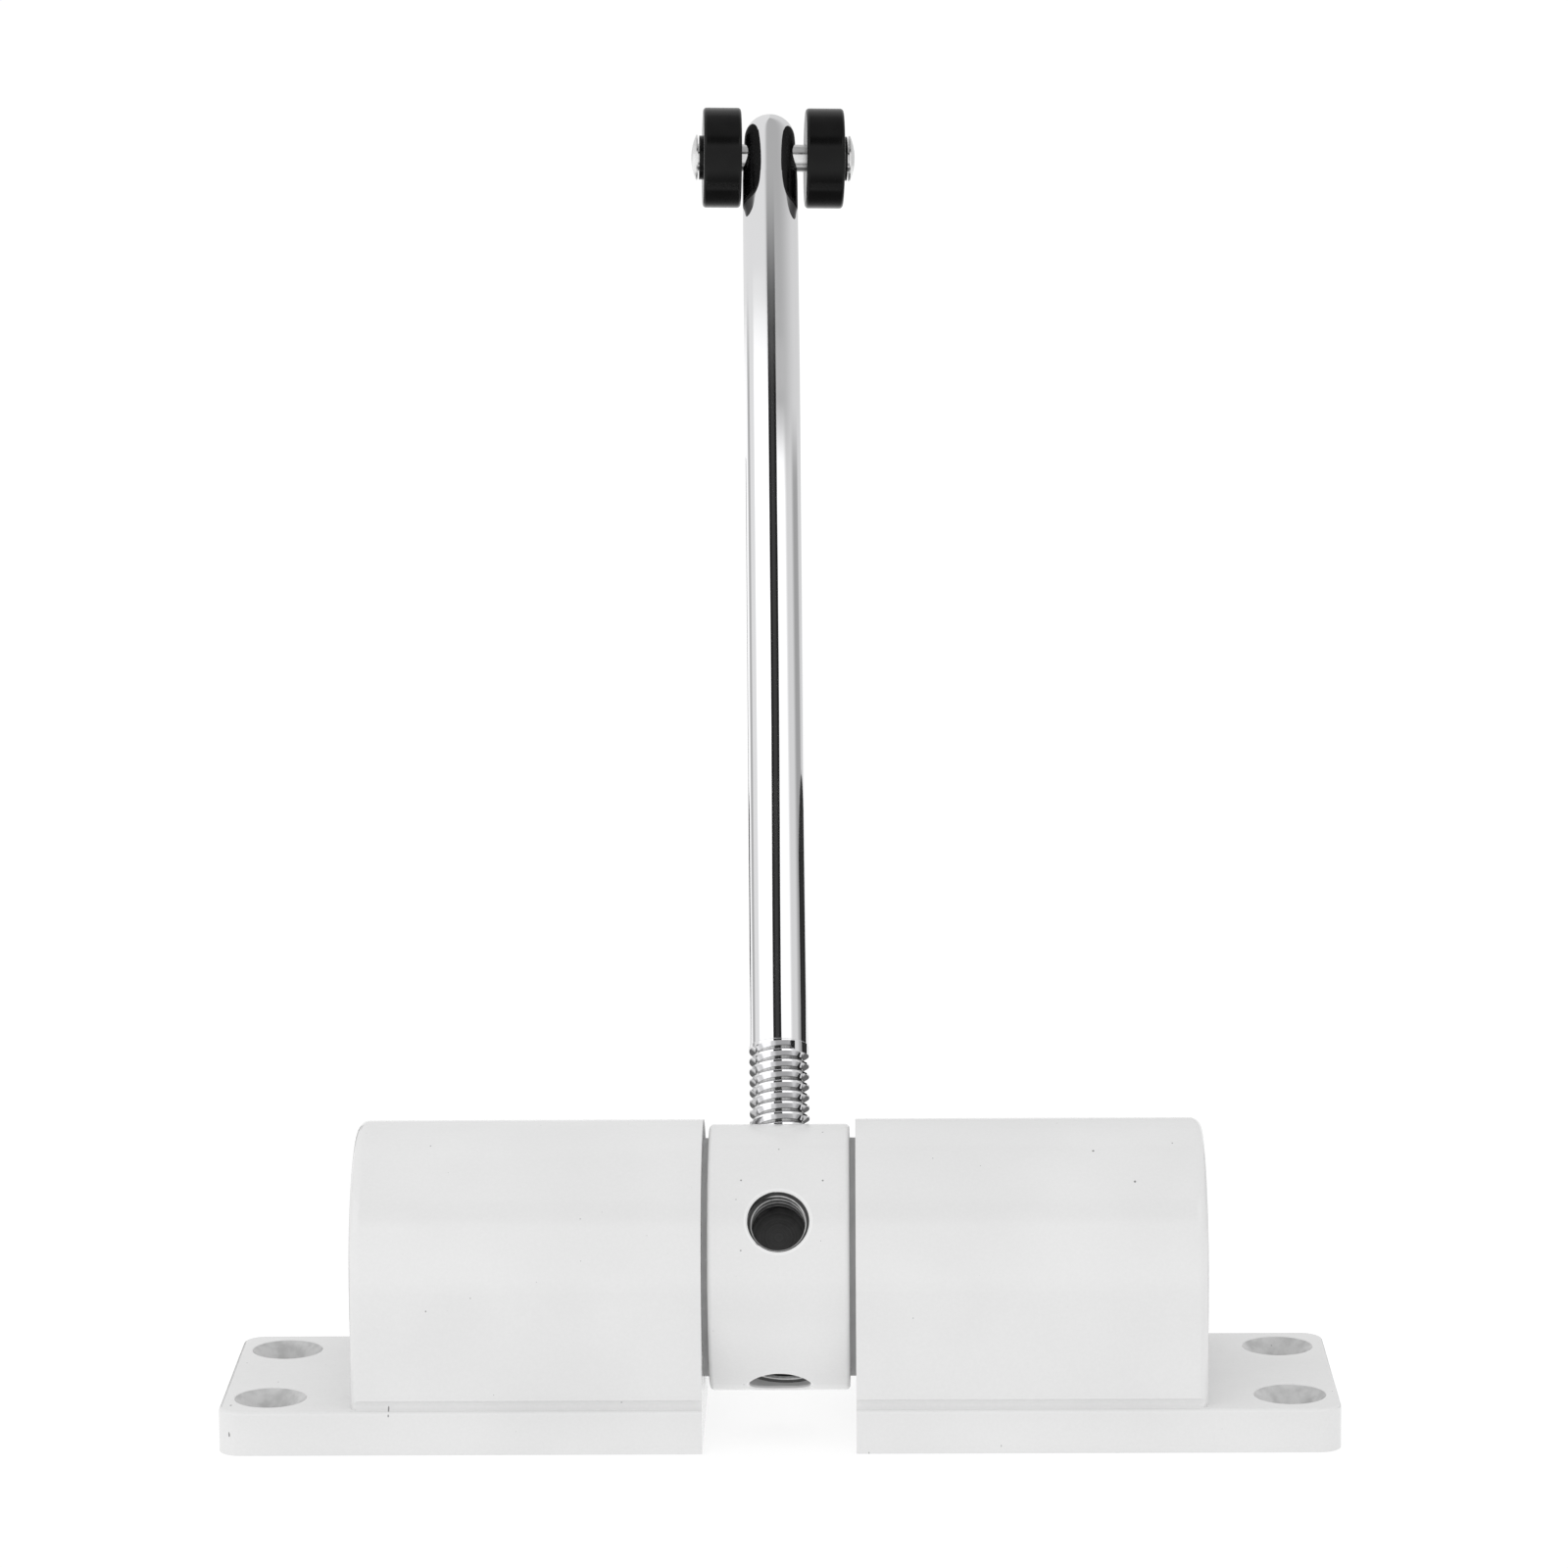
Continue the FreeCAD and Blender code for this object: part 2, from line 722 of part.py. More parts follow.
def make_axle():
    """A pin through the rod with a domed head formed on each end."""
    body = new_body("axle")
    head = size("axle_radius") + size("axle_head_overhang")
    edge = head_face + size("axle_head_edge")
    tip = head_face + size("axle_head_thickness")
    rise = size("axle_head_thickness") - size("axle_head_edge")
    dome = (head * head + rise * rise) / (rise * 2)
    side = new_sketch(body, "XZ_Plane", "side")
    outline(side, [
        (-head_face, size("axle_radius")),
        (head_face, size("axle_radius")),
        (head_face, head),
        (edge, head, tip - dome, ZERO),
        (tip, ZERO),
        (-tip, ZERO, dome - tip, ZERO),
        (-edge, head),
        (-head_face, head),
    ])
    turn(body, "Revolution", side, "H_Axis")
    lift_with_rod(body, axle_shift, size("axle_reach"))
    return body


def make_roller(label, way):
    """A wheel with rounded edges and a low boss towards the axle's head, way along X."""
    body = new_body(label)
    inner, outer = roller_inner, roller_inner + size("roller_width")
    radius, edge = size("roller_radius"), size("roller_edge_radius")
    boss = size("axle_radius") + size("roller_boss_wall")
    side = new_sketch(body, "XZ_Plane", "side")
    outline(side, [
        (inner * way, axle_hole),
        (inner * way, radius - edge, (inner + edge) * way, radius - edge),
        ((inner + edge) * way, radius),
        ((outer - edge) * way, radius, (outer - edge) * way, radius - edge),
        (outer * way, radius - edge),
        (outer * way, boss),
        (roller_outer * way, boss),
        (roller_outer * way, axle_hole),
    ])
    turn(body, "Revolution", side, "H_Axis")
    lift_with_rod(body, axle_shift, size("axle_reach"))
    return body


# ---------------------------------------------------------------- the assembly

right_housing = make_right_housing()
hub = make_hub()
right_disc = make_tube(
    "right_bearing_disc",
    bore_radius - size("running_clearance"),
    sleeve_radius,
    half_hub,
    size("disc_thickness"),
    rod_lean,
    tang=True,
)
core_sleeve = make_core_sleeve()
right_bush = make_tube(
    "right_bush",
    sleeve_bore,
    sleeve_hole,
    half_sleeve - size("bush_length"),
    size("bush_length"),
    rod_lean,
)
right_washer = make_tube(
    "right_thrust_washer", boss_radius, sleeve_hole, washer_face, size("washer_thickness")
)
right_spring = make_right_spring()

subparts = [
    right_housing,
    mirrored(right_housing, "left_housing"),
    hub,
    core_sleeve,
    right_bush,
    mirrored(right_bush, "left_bush"),
    right_disc,
    mirrored(right_disc, "left_bearing_disc"),
    right_washer,
    mirrored(right_washer, "left_thrust_washer"),
    make_spindle(),
    make_end_screws(),
    right_spring,
    mirrored(right_spring, "left_spring"),
    make_rod(),
    make_axle(),
    make_roller("right_roller", 1),
    make_roller("left_roller", -1),
]
doc.recompute()

for thing in doc.Objects:
    if "Invalid" in thing.State or "Error" in thing.State:
        raise RuntimeError("%s failed: %s" % (thing.Name, thing.State))
for subpart in subparts:
    if subpart.Shape.isNull() or not subpart.Shape.isValid():
        raise RuntimeError("%s has no valid shape" % subpart.Label)

os.makedirs("parts", exist_ok=True)
for subpart in subparts:
    subpart.Shape.exportStep("parts/%s.step" % subpart.Label)
    print(
        "%-20s solids %d  volume %9.1f  faces %d"
        % (
            subpart.Label,
            len(subpart.Shape.Solids),
            subpart.Shape.Volume,
            len(subpart.Shape.Faces),
        )
    )
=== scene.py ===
import json
import math

import bmesh
import bpy
from mathutils import Matrix, Vector


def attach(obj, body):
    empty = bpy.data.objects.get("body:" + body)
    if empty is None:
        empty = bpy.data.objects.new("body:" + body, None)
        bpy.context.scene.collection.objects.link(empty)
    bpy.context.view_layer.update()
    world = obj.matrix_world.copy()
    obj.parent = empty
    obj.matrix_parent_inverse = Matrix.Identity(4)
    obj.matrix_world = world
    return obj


# A torsion-spring door closer: white painted housings and hub, a chromed rod and two black rollers.
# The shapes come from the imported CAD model. This script gives them their finishes, cuts the thread
# ridges of the open sockets, and sets up a white studio. Metres throughout.

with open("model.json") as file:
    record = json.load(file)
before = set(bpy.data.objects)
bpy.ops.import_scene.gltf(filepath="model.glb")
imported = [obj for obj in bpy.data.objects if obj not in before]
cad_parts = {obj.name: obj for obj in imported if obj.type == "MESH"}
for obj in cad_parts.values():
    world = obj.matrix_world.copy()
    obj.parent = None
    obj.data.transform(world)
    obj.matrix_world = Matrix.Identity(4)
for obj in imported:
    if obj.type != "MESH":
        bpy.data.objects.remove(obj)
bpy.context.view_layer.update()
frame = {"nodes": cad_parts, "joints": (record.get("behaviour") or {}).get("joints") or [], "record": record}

MM = 0.001

# ---------------------------------------------------------------- places on the object

joints = {joint["name"]: joint for joint in frame["joints"]}
mounts = {mount["name"]: mount for mount in frame["record"]["mounts"]}

HUB_AXIS = Vector(joints["hub_turn"]["axis"]).normalized()
HUB_CENTRE = Vector(joints["hub_turn"]["pos_m"])
AXLE_AXIS = Vector(joints["left_roller_spin"]["axis"]).normalized()
AXLE_CENTRE = Vector(joints["left_roller_spin"]["pos_m"])
FRONT = Vector(mounts["front_socket"]["axis"]).normalized()
LOWER = Vector(mounts["lower_socket"]["axis"]).normalized()

ROD_GRIP = 14.65 * MM        # height over the hub's axis about which the rod tilts in its thread
ROD_PIVOT = HUB_CENTRE - LOWER * ROD_GRIP
ROD_AXIS = (AXLE_CENTRE - ROD_PIVOT).normalized()
ROD_SIDE = (HUB_AXIS - ROD_AXIS * HUB_AXIS.dot(ROD_AXIS)).normalized()
ROD_FACE = ROD_AXIS.cross(ROD_SIDE).normalized()
if ROD_FACE.y > 0.0:
    ROD_FACE = -ROD_FACE

HUB_RADIUS = 18.0 * MM
FOOT_TOP = 6.0 * MM
SINK_RADIUS = 4.9 * MM       # of the countersinks
SOCKET_FLOOR = 9.75 * MM     # this and the next two are distances from the hub's axis
WALL_DARK = 12.8 * MM        # where the painted shade on a socket's wall is darkest, and below
WALL_LIGHT = 17.2 * MM       # where that painted shade is lightest, and above
SOCKET_MOUTH = 4.32 * MM     # just outside a socket's wall, from its own axis
RIM_HEIGHT = 17.35 * MM      # a point on the front socket's rim, from the hub's axis
RIM_RADIUS = 4.12 * MM       # and from the socket's own axis
THREAD_PITCH = 1.5 * MM
ROLLER_RADIUS = 7.25 * MM


# ---------------------------------------------------------------- node helpers


class Finish:
    """A material with one Principled shader, and short calls for the nodes that feed it."""

    def __init__(self, name):
        self.material = bpy.data.materials.new(name)
        self.material.use_nodes = True
        tree = self.material.node_tree
        self.nodes, self.links = tree.nodes, tree.links
        self.shader = self.nodes["Principled BSDF"]
        place = self.nodes.new("ShaderNodeTexCoord")
        self.place = place.outputs["Object"]
        self.facing = place.outputs["Normal"]

    def feed(self, socket, value):
        if isinstance(value, bpy.types.NodeSocket):
            self.links.new(value, socket)
        elif isinstance(value, (Vector, tuple)) and len(socket.default_value) == 4:
            socket.default_value = (*value, 1.0)
        else:
            socket.default_value = value

    def set(self, **values):
        """Shader inputs by name, with _ for a space."""
        for name, value in values.items():
            self.feed(self.shader.inputs[name.replace("_", " ")], value)

    def node(self, kind, settings=None, **values):
        made = self.nodes.new("ShaderNode" + kind)
        for name, value in (settings or {}).items():
            setattr(made, name, value)
        for name, value in values.items():
            self.feed(made.inputs[name.replace("_", " ")], value)
        return made

    def math(self, operation, *values):
        made = self.nodes.new("ShaderNodeMath")
        made.operation = operation
        for number, value in enumerate(values):
            self.feed(made.inputs[number], value)
        return made.outputs[0]

    def vector(self, operation, *values, output="Vector"):
        made = self.nodes.new("ShaderNodeVectorMath")
        made.operation = operation
        for number, value in enumerate(values):
            if value is not None:
                self.feed(made.inputs[number], value)
        return made.outputs[output]

    def scaled(self, vector, factor):
        made = self.nodes.new("ShaderNodeVectorMath")
        made.operation = "SCALE"
        self.feed(made.inputs[0], vector)
        self.feed(made.inputs["Scale"], factor)
        return made.outputs["Vector"]

    def noise(self, scale, detail=3.0, roughness=0.5, place=None, distortion=0.0):
        made = self.node(
            "TexNoise",
            Vector=place or self.place,
            Scale=scale,
            Detail=detail,
            Roughness=roughness,
            Distortion=distortion,
        )
        return made.outputs["Fac"]

    def ramp(self, value, low, high, start=0.0, end=1.0, smooth=True):
        """value taken from low..high to start..end."""
        made = self.node(
            "MapRange",
            {"interpolation_type": "SMOOTHSTEP" if smooth else "LINEAR", "clamp": True},
            Value=value,
            From_Min=low,
            From_Max=high,
            To_Min=start,
            To_Max=end,
        )
        return made.outputs["Result"]

    def mix(self, factor, first, second):
        """A colour between two colours."""
        made = self.nodes.new("ShaderNodeMix")
        made.data_type = "RGBA"
        self.feed(made.inputs[0], factor)
        self.feed(made.inputs[6], first)
        self.feed(made.inputs[7], second)
        return made.outputs[2]

    def grey(self, level):
        made = self.nodes.new("ShaderNodeCombineColor")
        for number in range(3):
            self.feed(made.inputs[number], level)
        return made.outputs[0]

    def bump(self, height, strength, distance, normal=None):
        made = self.node("Bump", Height=height, Strength=strength, Distance=distance)
        if normal is not None:
            self.feed(made.inputs["Normal"], normal)
        return made.outputs["Normal"]

    def about(self, point, axis):
        """(distance along an axis from a point on it, distance from the axis)."""
        offset = self.vector("SUBTRACT", self.place, point)
        along = self.vector("DOT_PRODUCT", offset, axis, output="Value")
        across = self.vector("SUBTRACT", offset, self.scaled(axis, along))
        return along, self.vector("LENGTH", across, output="Value")

    def near(self, point, radius, soft):
        """1 inside a ball, falling to 0 at its edge."""
        distance = self.vector("DISTANCE", self.place, point, output="Value")
        return self.ramp(distance, radius - soft, radius + soft, 1.0, 0.0)

    def from_sockets(self):
        """Distance from the nearest socket's axis. Opposite sockets share one."""
        front = self.about(HUB_CENTRE, FRONT)[1]
        lower = self.about(HUB_CENTRE, LOWER)[1]
        return self.math("MINIMUM", front, lower)

    def bands(self, measure, per_metre, detail=2.0, roughness=0.5):
        """Noise that changes with one measure alone, so that it lies in bands or rings."""
        place = self.scaled(Vector((1, 0, 0)), self.math("MULTIPLY", measure, per_metre))
        return self.noise(1.0, detail, roughness, place)

    def edges(self, width, low, high):
        """1 on sharp edges and 0 on flat ground, from how far a rounded normal leans."""
        rounded = self.node("Bevel", {"samples": 4}, Radius=width).outputs["Normal"]
        true = self.nodes.new("ShaderNodeNewGeometry").outputs["Normal"]
        straight = self.vector("DOT_PRODUCT", rounded, true, output="Value")
        return self.ramp(straight, high, low)

    def wrapped(self, centre, radius):
        """Flat coordinates wrapped round an axis parallel to X: (distance along it, arc length)."""
        split = self.node("SeparateXYZ", Vector=self.vector("SUBTRACT", self.place, centre))
        angle = self.math("ARCTAN2", split.outputs["Z"], split.outputs["Y"])
        return self.node(
            "CombineXYZ", X=split.outputs["X"], Y=self.math("MULTIPLY", angle, radius)
        ).outputs["Vector"]

    def specks(self, cells, share, size, place, shift=0.0):
        """Sparse round spots: a share of the cells holds one, of a random size up to size."""
        made = self.node(
            "TexVoronoi",
            {"feature": "F1", "voronoi_dimensions": "2D"},
            Vector=self.vector("ADD", place, Vector((shift, shift, 0.0))),
            Scale=cells,
        )
        chance = self.node("SeparateColor", Color=made.outputs["Color"])
        chosen = self.math("LESS_THAN", chance.outputs[0], share)
        limit = self.math("MULTIPLY", chance.outputs[1], size * cells)
        inside = self.ramp(self.math("SUBTRACT", limit, made.outputs["Distance"]), 0.0, 0.02)
        return self.math("MULTIPLY", chosen, inside)


# ---------------------------------------------------------------- finishes


def paint(finish):
    """Gloss white powder coat. Returns (grey level, roughness, normal, edge mask) before wear."""
    cloud = finish.noise(45.0, 2.0)
    level = finish.ramp(cloud, 0.3, 0.7, 0.735, 0.765)
    grain = finish.noise(2600.0, 2.0)
    level = finish.math("MULTIPLY", level, finish.ramp(grain, 0.3, 0.75, 0.99, 1.01))
    skin = finish.wrapped(HUB_CENTRE, HUB_RADIUS)
    across = finish.node("SeparateXYZ", Vector=finish.facing).outputs["X"]
    not_end = finish.math("LESS_THAN", finish.math("ABSOLUTE", across), 0.5)
    pits = finish.math("MULTIPLY", not_end, finish.specks(190.0, 0.14, 0.00021, skin))
    dust = finish.math("MULTIPLY", not_end, finish.specks(340.0, 0.10, 0.00012, skin, 1.7))
    marks = finish.math("MAXIMUM", pits, finish.math("MULTIPLY", dust, 0.6))
    level = finish.math("MULTIPLY", level, finish.ramp(marks, 0.0, 1.0, 1.0, 0.32))
    roughness = finish.ramp(finish.noise(320.0, 3.0), 0.3, 0.7, 0.11, 0.18)
    peel = finish.noise(750.0, 1.5, 0.4)
    height = finish.math("SUBTRACT", peel, finish.math("MULTIPLY", pits, 1.4))
    normal = finish.bump(height, 0.16, 0.00006)
    edge = finish.edges(0.00035, 0.80, 0.985)
    return level, roughness, normal, edge


def in_sinks(finish):
    """1 on the walls of the four screw holes and their countersinks, 0 elsewhere."""
    dims = mounts["fixing_holes"]["dims"]
    split = finish.node("SeparateXYZ", Vector=finish.place)
    offsets = []
    for name in ("X", "Y"):
        half = dims["spacing_%s_mm" % name.lower()] * MM / 2
        offsets.append(finish.math("SUBTRACT", finish.math("ABSOLUTE", split.outputs[name]), half))
    flat = finish.node("CombineXYZ", X=offsets[0], Y=offsets[1]).outputs["Vector"]
    distance = finish.vector("LENGTH", flat, output="Value")
    near = finish.ramp(distance, SINK_RADIUS - 0.05 * MM, SINK_RADIUS + 0.05 * MM, 1.0, 0.0)
    height = split.outputs["Z"]
    below_top = finish.ramp(height, FOOT_TOP - 0.1 * MM, FOOT_TOP - 0.02 * MM, 1.0, 0.0)
    return finish.math("MULTIPLY", near, below_top)


def white_paint():
    """The paint of the two housings, with painted shade in the screw holes and rubbed a little on the edges.
    """
    finish = Finish("white_paint_gloss")
    level, roughness, normal, edge = paint(finish)
    # Painted shade: the walls of the screw holes and countersinks are darkened to 0.62 to 0.80 of the
    # paint's level.
    sink_shade_factor = finish.ramp(finish.noise(500.0, 3.0), 0.35, 0.7, 0.80, 0.62)
    sink_shade_amount = finish.math("MULTIPLY", in_sinks(finish), finish.math("SUBTRACT", 1.0, sink_shade_factor))
    level = finish.math("MULTIPLY", level, finish.math("SUBTRACT", 1.0, sink_shade_amount))
    rub = finish.math("MULTIPLY", edge, finish.ramp(finish.noise(900.0, 4.0, 0.6), 0.58, 0.66))
    colour = finish.mix(finish.math("MULTIPLY", rub, 0.35), finish.grey(level), (0.50, 0.50, 0.51))
    finish.set(Base_Color=colour, Roughness=roughness, Normal=normal)
    finish.set(IOR=1.4, Coat_Weight=0.1, Coat_Roughness=0.05)
    return finish.material


RIM_CHIPS = ((228.0, 0.36), (196.0, 0.30))   # angle in degrees, size in mm


def hub_paint():
    """The same paint, with bare metal in the tapped sockets in painted shade that lightens towards the
    mouth, a painted highlight ring round each mouth, and two chips on the front one's rim.
    """
    finish = Finish("white_paint_hub")
    level, _, normal, _ = paint(finish)
    radius = finish.about(HUB_CENTRE, HUB_AXIS)[1]
    aside = finish.from_sockets()
    in_socket = finish.math("LESS_THAN", aside, SOCKET_MOUTH)
    below_rim = finish.ramp(radius, 17.42 * MM, 17.5 * MM, 1.0, 0.0)
    # Painted highlight: a paler ring, up to 1.12 times the paint's level, round each socket's mouth.
    socket_rim_highlight = finish.ramp(aside, 4.4 * MM, 4.7 * MM, 1.12, 1.0)
    level = finish.math("MULTIPLY", level, socket_rim_highlight)
    ragged = finish.noise(1500.0, 4.0, 0.65)
    bare = finish.math("MULTIPLY", in_socket, below_rim)
    for angle, size in RIM_CHIPS:
        chip = finish.near(rim_point(angle), size * MM, 0.16 * MM)
        chip = finish.ramp(finish.math("MULTIPLY", chip, finish.math("ADD", ragged, 0.4)), 0.44, 0.5)
        bare = finish.math("MAXIMUM", bare, chip)
    # Painted shade on the bare metal in the sockets and chips: darkest deep in, lighter towards the mouth.
    inside = finish.ramp(radius, WALL_DARK, WALL_LIGHT, 0.03, 0.58)
    colour = finish.mix(bare, finish.grey(level), finish.grey(inside))
    finish.set(Base_Color=colour, Normal=normal)
    finish.set(Roughness=finish.ramp(bare, 0.0, 1.0, 0.2, 0.42))
    finish.set(Metallic=finish.math("MULTIPLY", bare, 0.35))
    finish.set(IOR=1.4, Coat_Weight=0.1, Coat_Roughness=0.05)
    return finish.material


def rim_point(angle):
    """A point on the front socket's rim, from the hub's axis direction round towards the rod."""
    turned = math.radians(angle)
    out = HUB_AXIS * math.cos(turned) - LOWER * math.sin(turned)
    return HUB_CENTRE + FRONT * RIM_HEIGHT + out * RIM_RADIUS


def chrome():
    """Mirror chrome with hairlines along the rod, a few smears, and painted shade in the thread's roots."""
    finish = Finish("polished_chrome")
    along, radius = finish.about(ROD_PIVOT, ROD_AXIS)
    stretched = finish.vector(
        "SUBTRACT", finish.place, finish.scaled(ROD_AXIS, finish.math("MULTIPLY", along, 0.985))
    )
    hairs = finish.noise(7000.0, 2.0, 0.5, stretched)
    smear = finish.noise(60.0, 3.0, 0.55)
    # Painted shade in the roots of the rod's thread: darkened to 0.20 grey and made a little rougher.
    on_thread = finish.ramp(along, 14.9 * MM, 15.6 * MM, 1.0, 0.0)
    root_shade = finish.math("MULTIPLY", on_thread, finish.ramp(radius, 3.26 * MM, 3.4 * MM, 1.0, 0.0))
    colour = finish.mix(root_shade, (0.87, 0.87, 0.88), (0.20, 0.20, 0.20))
    shine = finish.ramp(smear, 0.35, 0.75, 0.03, 0.085)
    finish.set(Base_Color=colour, Metallic=1.0)
    finish.set(Roughness=finish.math("ADD", shine, finish.math("MULTIPLY", root_shade, 0.12)))
    finish.set(Normal=finish.bump(hairs, 0.05, 0.00001))
    return finish.material


def turned_metal(name, level, point, axis, roughness, bump):
    """Metal with fine rings round an axis and blotches in its shine."""
    finish = Finish(name)
    bands = finish.bands(finish.about(point, axis)[1], 3800.0, 2.0, 0.6)
    blotch = finish.noise(420.0, 3.0, 0.6)
    mottle = finish.math("ADD", blotch, finish.math("MULTIPLY", bands, 0.5))
    shade = finish.ramp(mottle, 0.5, 1.05, 0.82, 1.08)
    finish.set(Base_Color=finish.grey(finish.math("MULTIPLY", shade, level)), Metallic=1.0)
    finish.set(Roughness=finish.ramp(blotch, 0.3, 0.7, roughness * 0.8, roughness * 1.25))
    finish.set(Normal=finish.bump(bands, bump, 0.00003))
    return finish.material


def socket_floor_metal():
    """Dark blacked steel with the drill's rings on the sockets' flat ends, and painted shade on their walls
    that lightens towards the mouth.
    """
    finish = Finish("dark_steel_drilled")
    aside = finish.from_sockets()
    bands = finish.bands(aside, 3300.0, 3.0, 0.6)
    blotch = finish.noise(650.0, 4.0, 0.65)
    grit = finish.noise(4200.0, 2.0)
    shade = finish.ramp(finish.math("ADD", bands, blotch), 0.6, 1.4, 0.05, 0.13)
    on_wall = finish.ramp(aside, 4.05 * MM, 4.1 * MM)
    # Painted shade up the socket walls: darkest deep in, lighter towards the mouth.
    radius = finish.about(HUB_CENTRE, HUB_AXIS)[1]
    wall_shade = finish.ramp(radius, WALL_DARK, WALL_LIGHT, 0.03, 0.60)
    colour = finish.mix(on_wall, finish.grey(shade), finish.grey(wall_shade))
    finish.set(Base_Color=colour, Metallic=0.35)
    finish.set(Roughness=finish.ramp(blotch, 0.3, 0.7, 0.42, 0.62))
    relief = finish.math("ADD", bands, finish.math("MULTIPLY", grit, 0.3))
    finish.set(Normal=finish.bump(relief, 0.35, 0.00006))
    return finish.material


def tapped_metal():
    """The thread inside a socket: crests with a painted highlight that fades into painted shade with depth,
    with grey blotches.
    """
    finish = Finish("tapped_metal")
    blotch = finish.noise(900.0, 4.0, 0.6)
    # Painted highlight on the thread crests, fading deeper in as painted shade; the flanks stay dark.
    crest = finish.ramp(finish.from_sockets(), 3.66 * MM, 3.8 * MM, 1.0, 0.0)
    radius = finish.about(HUB_CENTRE, HUB_AXIS)[1]
    depth_shade = finish.ramp(radius, 11.5 * MM, 17.0 * MM, 0.06, 0.66)
    level = finish.math("ADD", 0.05, finish.math("MULTIPLY", crest, depth_shade))
    level = finish.math("MULTIPLY", level, finish.ramp(blotch, 0.3, 0.7, 0.8, 1.15))
    finish.set(Base_Color=finish.grey(level), Metallic=0.45)
    finish.set(Roughness=finish.ramp(blotch, 0.3, 0.7, 0.30, 0.42))
    finish.set(Normal=finish.bump(finish.noise(3500.0, 2.0), 0.25, 0.00003))
    return finish.material


def grey_bearing():
    """Dull grey moulded plastic with a fine grain and a few pale scuffs."""
    finish = Finish("grey_bearing_plastic")
    cloud = finish.noise(160.0, 3.0)
    scuff = finish.ramp(finish.noise(900.0, 4.0, 0.65), 0.62, 0.72, 0.0, 0.12)
    level = finish.math("ADD", finish.ramp(cloud, 0.3, 0.7, 0.50, 0.58), scuff)
    finish.set(Base_Color=finish.grey(level), Roughness=finish.ramp(cloud, 0.3, 0.7, 0.42, 0.55))
    finish.set(Normal=finish.bump(finish.noise(3800.0, 2.0), 0.2, 0.00003))
    return finish.material


def black_plastic():
    """Black moulded nylon: faint rings from the mould, rubbed paler on its edges, a little dust."""
    finish = Finish("black_plastic_gloss")
    along, radius = finish.about(AXLE_CENTRE, AXLE_AXIS)
    bands = finish.bands(along, 2400.0)
    rings = finish.bands(radius, 1700.0)
    grain = finish.noise(3000.0, 2.0)
    edge = finish.edges(0.0003, 0.80, 0.985)
    rub = finish.math("MULTIPLY", edge, finish.ramp(finish.noise(700.0, 4.0), 0.35, 0.6))
    dust = finish.specks(420.0, 0.16, 0.00012, finish.wrapped(AXLE_CENTRE, ROLLER_RADIUS))
    level = finish.ramp(finish.noise(200.0, 3.0), 0.3, 0.7, 0.003, 0.006)
    level = finish.math("ADD", level, finish.math("MULTIPLY", rub, 0.02))
    level = finish.math("ADD", level, finish.math("MULTIPLY", dust, 0.06))
    finish.set(Base_Color=finish.grey(level))
    finish.set(Roughness=finish.ramp(finish.math("ADD", bands, rings), 0.7, 1.3, 0.14, 0.22))
    height = finish.math("ADD", bands, finish.math("ADD", rings, finish.math("MULTIPLY", grain, 0.5)))
    finish.set(Normal=finish.bump(height, 0.12, 0.00003), IOR=1.26)
    return finish.material


def spring_steel():
    """Oiled dark wire with fine drawing lines and blotches."""
    finish = Finish("spring_steel_wire")
    lines = finish.bands(finish.about(HUB_CENTRE, HUB_AXIS)[1], 5200.0)
    blotch = finish.noise(350.0, 3.0)
    finish.set(Base_Color=finish.grey(finish.ramp(blotch, 0.3, 0.7, 0.20, 0.32)), Metallic=1.0)
    finish.set(Roughness=finish.ramp(blotch, 0.3, 0.7, 0.30, 0.45))
    finish.set(Normal=finish.bump(lines, 0.2, 0.00003))
    return finish.material


def dress_nodes():
    """Each CAD node gets the finish of its slot, and the hub and axle their own."""
    slots = {row["node"]: row["material_slot"] for row in frame["record"]["subparts"]}
    by_slot = {
        "white_paint": white_paint(),
        "dark_steel": socket_floor_metal(),
        "grey_bearing": grey_bearing(),
        "bright_steel": turned_metal("bright_steel_turned", 0.72, HUB_CENTRE, HUB_AXIS, 0.24, 0.2),
        "spring_steel": spring_steel(),
        "polished_chrome": chrome(),
        "black_plastic": black_plastic(),
    }
    by_node = {
        "hub": hub_paint(),
        "axle": turned_metal("bright_steel_axle", 0.80, AXLE_CENTRE, AXLE_AXIS, 0.20, 0.05),
    }
    for name, thing in frame["nodes"].items():
        finish = by_node.get(name) or by_slot[slots[name]]
        if not thing.material_slots:
            thing.data.materials.append(finish)
        for slot in thing.material_slots:
            slot.material = finish


# ---------------------------------------------------------------- new objects


def mesh_from(name, work):
    """Turn a bmesh into a mesh and free it."""
    mesh = bpy.data.meshes.new(name)
    work.to_mesh(mesh)
    work.free()
    return mesh


def add_object(name, mesh, material):
    """A new object in the scene, with one material."""
    mesh.materials.append(material)
    thing = bpy.data.objects.new(name, mesh)
    bpy.context.scene.collection.objects.link(thing)
    return thing


# ---------------------------------------------------------------- thread ridges in the sockets

RIDGE_STEPS = 72             # points to a turn
RIDGE_BASE = 4.18 * MM       # just inside the socket's wall
RIDGE_CREST = 3.62 * MM
RIDGE_HALF_BASE = 0.60 * MM
RIDGE_HALF_CREST = 0.16 * MM
RIDGE_START = SOCKET_FLOOR + 0.75 * MM
RIDGE_END = 17.0 * MM
RIDGE_END_TURN = 170.0 / 360.0   # where it ends, round from the hub's axis: past the rim's lowest part
RIDGE_FADE = 0.2             # of a turn, over which each end sinks into the wall


